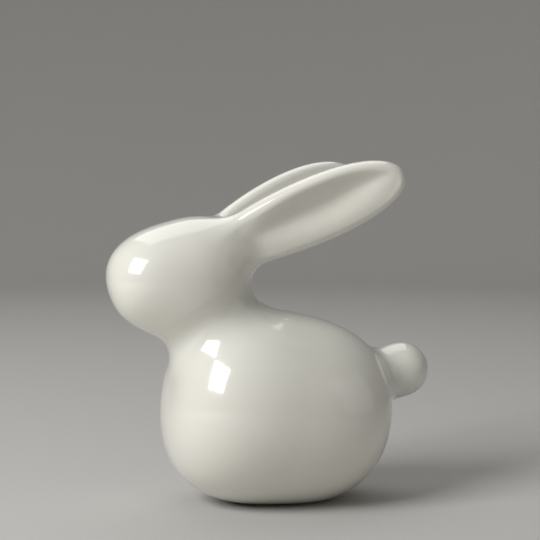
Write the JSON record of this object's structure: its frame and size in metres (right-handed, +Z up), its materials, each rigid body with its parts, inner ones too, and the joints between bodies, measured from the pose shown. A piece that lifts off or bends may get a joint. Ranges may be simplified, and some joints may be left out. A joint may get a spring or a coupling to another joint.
{
  "type": "rabbit figurine",
  "caption": "White glazed porcelain rabbit sitting on its belly, with a hollow egg body, an egg head, long laid-back scooped ears and a ball tail.",
  "frame": {"origin": "on the table under the middle of the figurine: halfway between nose and tail, on the plane that divides left from right", "axes": "+Z up, -X towards the nose and +X towards the tail, -Y the rabbit's left side"},
  "size_m": [0.1062, 0.063, 0.109],
  "materials": {
    "glaze": "warm white porcelain under a clear gloss glaze, fired all over"
  },
  "bodies": {
    "root": {"body": "glaze", "head": "glaze", "left_ear": "glaze", "right_ear": "glaze", "tail": "glaze", "neck_slip": "glaze", "left_ear_slip": "glaze", "right_ear_slip": "glaze", "tail_slip": "glaze"}
  },
  "joints": []
}
